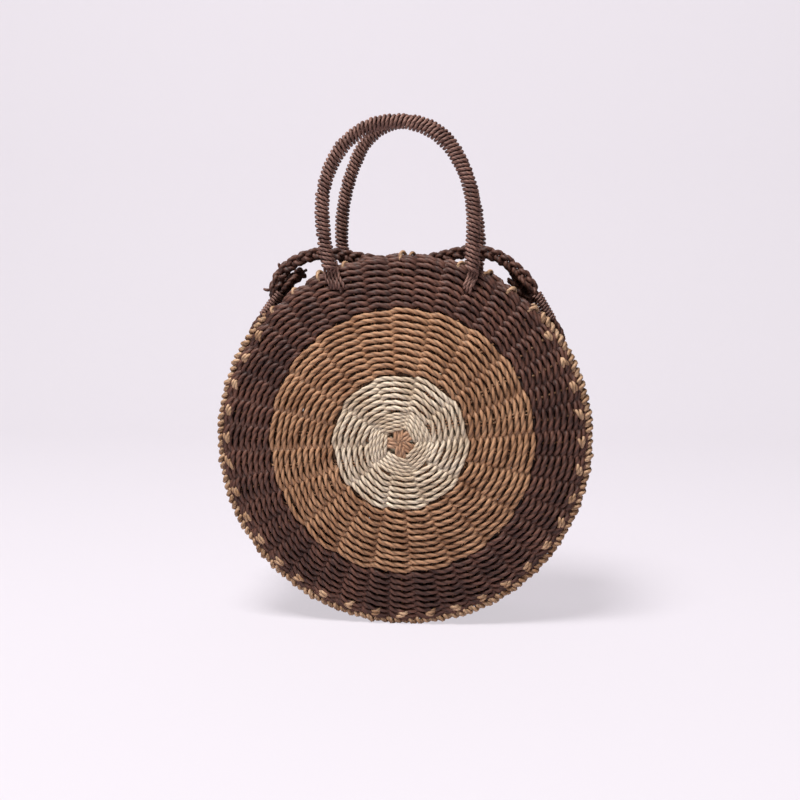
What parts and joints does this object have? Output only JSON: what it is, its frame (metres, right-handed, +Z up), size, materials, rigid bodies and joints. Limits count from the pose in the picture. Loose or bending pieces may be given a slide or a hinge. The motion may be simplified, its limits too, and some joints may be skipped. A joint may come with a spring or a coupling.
{
  "type": "round woven handbag",
  "caption": "Round handbag twined from paper rope, with two domed panels, a gusset open at the top, wrapped arch handles that tilt and a braid across the mouth.",
  "frame": {"origin": "on the floor under the middle of the bag", "axes": "+Z up, front panel towards -Y, +X to the right seen from the front"},
  "size_m": [0.3026, 0.141, 0.4156],
  "materials": {
    "cream_paper_rope": "matte twisted paper rope",
    "tan_paper_rope": "matte twisted paper rope",
    "brown_paper_rope": "matte twisted paper rope",
    "fine_brown_paper_cord": "matte twisted paper cord"
  },
  "bodies": {
    "bag": {"front_hub": "tan_paper_rope", "front_spokes": "tan_paper_rope", "front_centre_weave": "cream_paper_rope", "front_middle_weave": "tan_paper_rope", "front_outer_weave": "brown_paper_rope", "front_rim_cord": "brown_paper_rope", "front_spoke_ends": "tan_paper_rope", "front_seam_lacing": "tan_paper_rope", "front_handle_left_lashing": "brown_paper_rope", "front_handle_right_lashing": "brown_paper_rope", "back_hub": "tan_paper_rope", "back_spokes": "tan_paper_rope", "back_centre_weave": "cream_paper_rope", "back_middle_weave": "tan_paper_rope", "back_outer_weave": "brown_paper_rope", "back_rim_cord": "brown_paper_rope", "back_spoke_ends": "tan_paper_rope", "back_seam_lacing": "tan_paper_rope", "back_handle_left_lashing": "brown_paper_rope", "back_handle_right_lashing": "brown_paper_rope", "gusset_weave": "brown_paper_rope", "gusset_stakes": "tan_paper_rope", "left_side_loop": "brown_paper_rope", "right_side_loop": "brown_paper_rope", "left_loop_whipping": "fine_brown_paper_cord", "right_loop_whipping": "fine_brown_paper_cord", "mouth_braid": "brown_paper_rope"},
    "front_handle": {"front_handle_core": "brown_paper_rope", "front_handle_wrap": "fine_brown_paper_cord"},
    "back_handle": {"back_handle_core": "brown_paper_rope", "back_handle_wrap": "fine_brown_paper_cord"}
  },
  "joints": [
    {"name": "front_handle_tilt", "type": "hinge", "parent": "bag", "child": "front_handle", "pos_m": [0, -0.0518, 0.28742], "axis": [1, 0, 0], "range_deg": [-20, 75]},
    {"name": "back_handle_tilt", "type": "hinge", "parent": "bag", "child": "back_handle", "pos_m": [0, 0.0518, 0.28742], "axis": [-1, 0, 0], "range_deg": [-20, 75]}
  ]
}
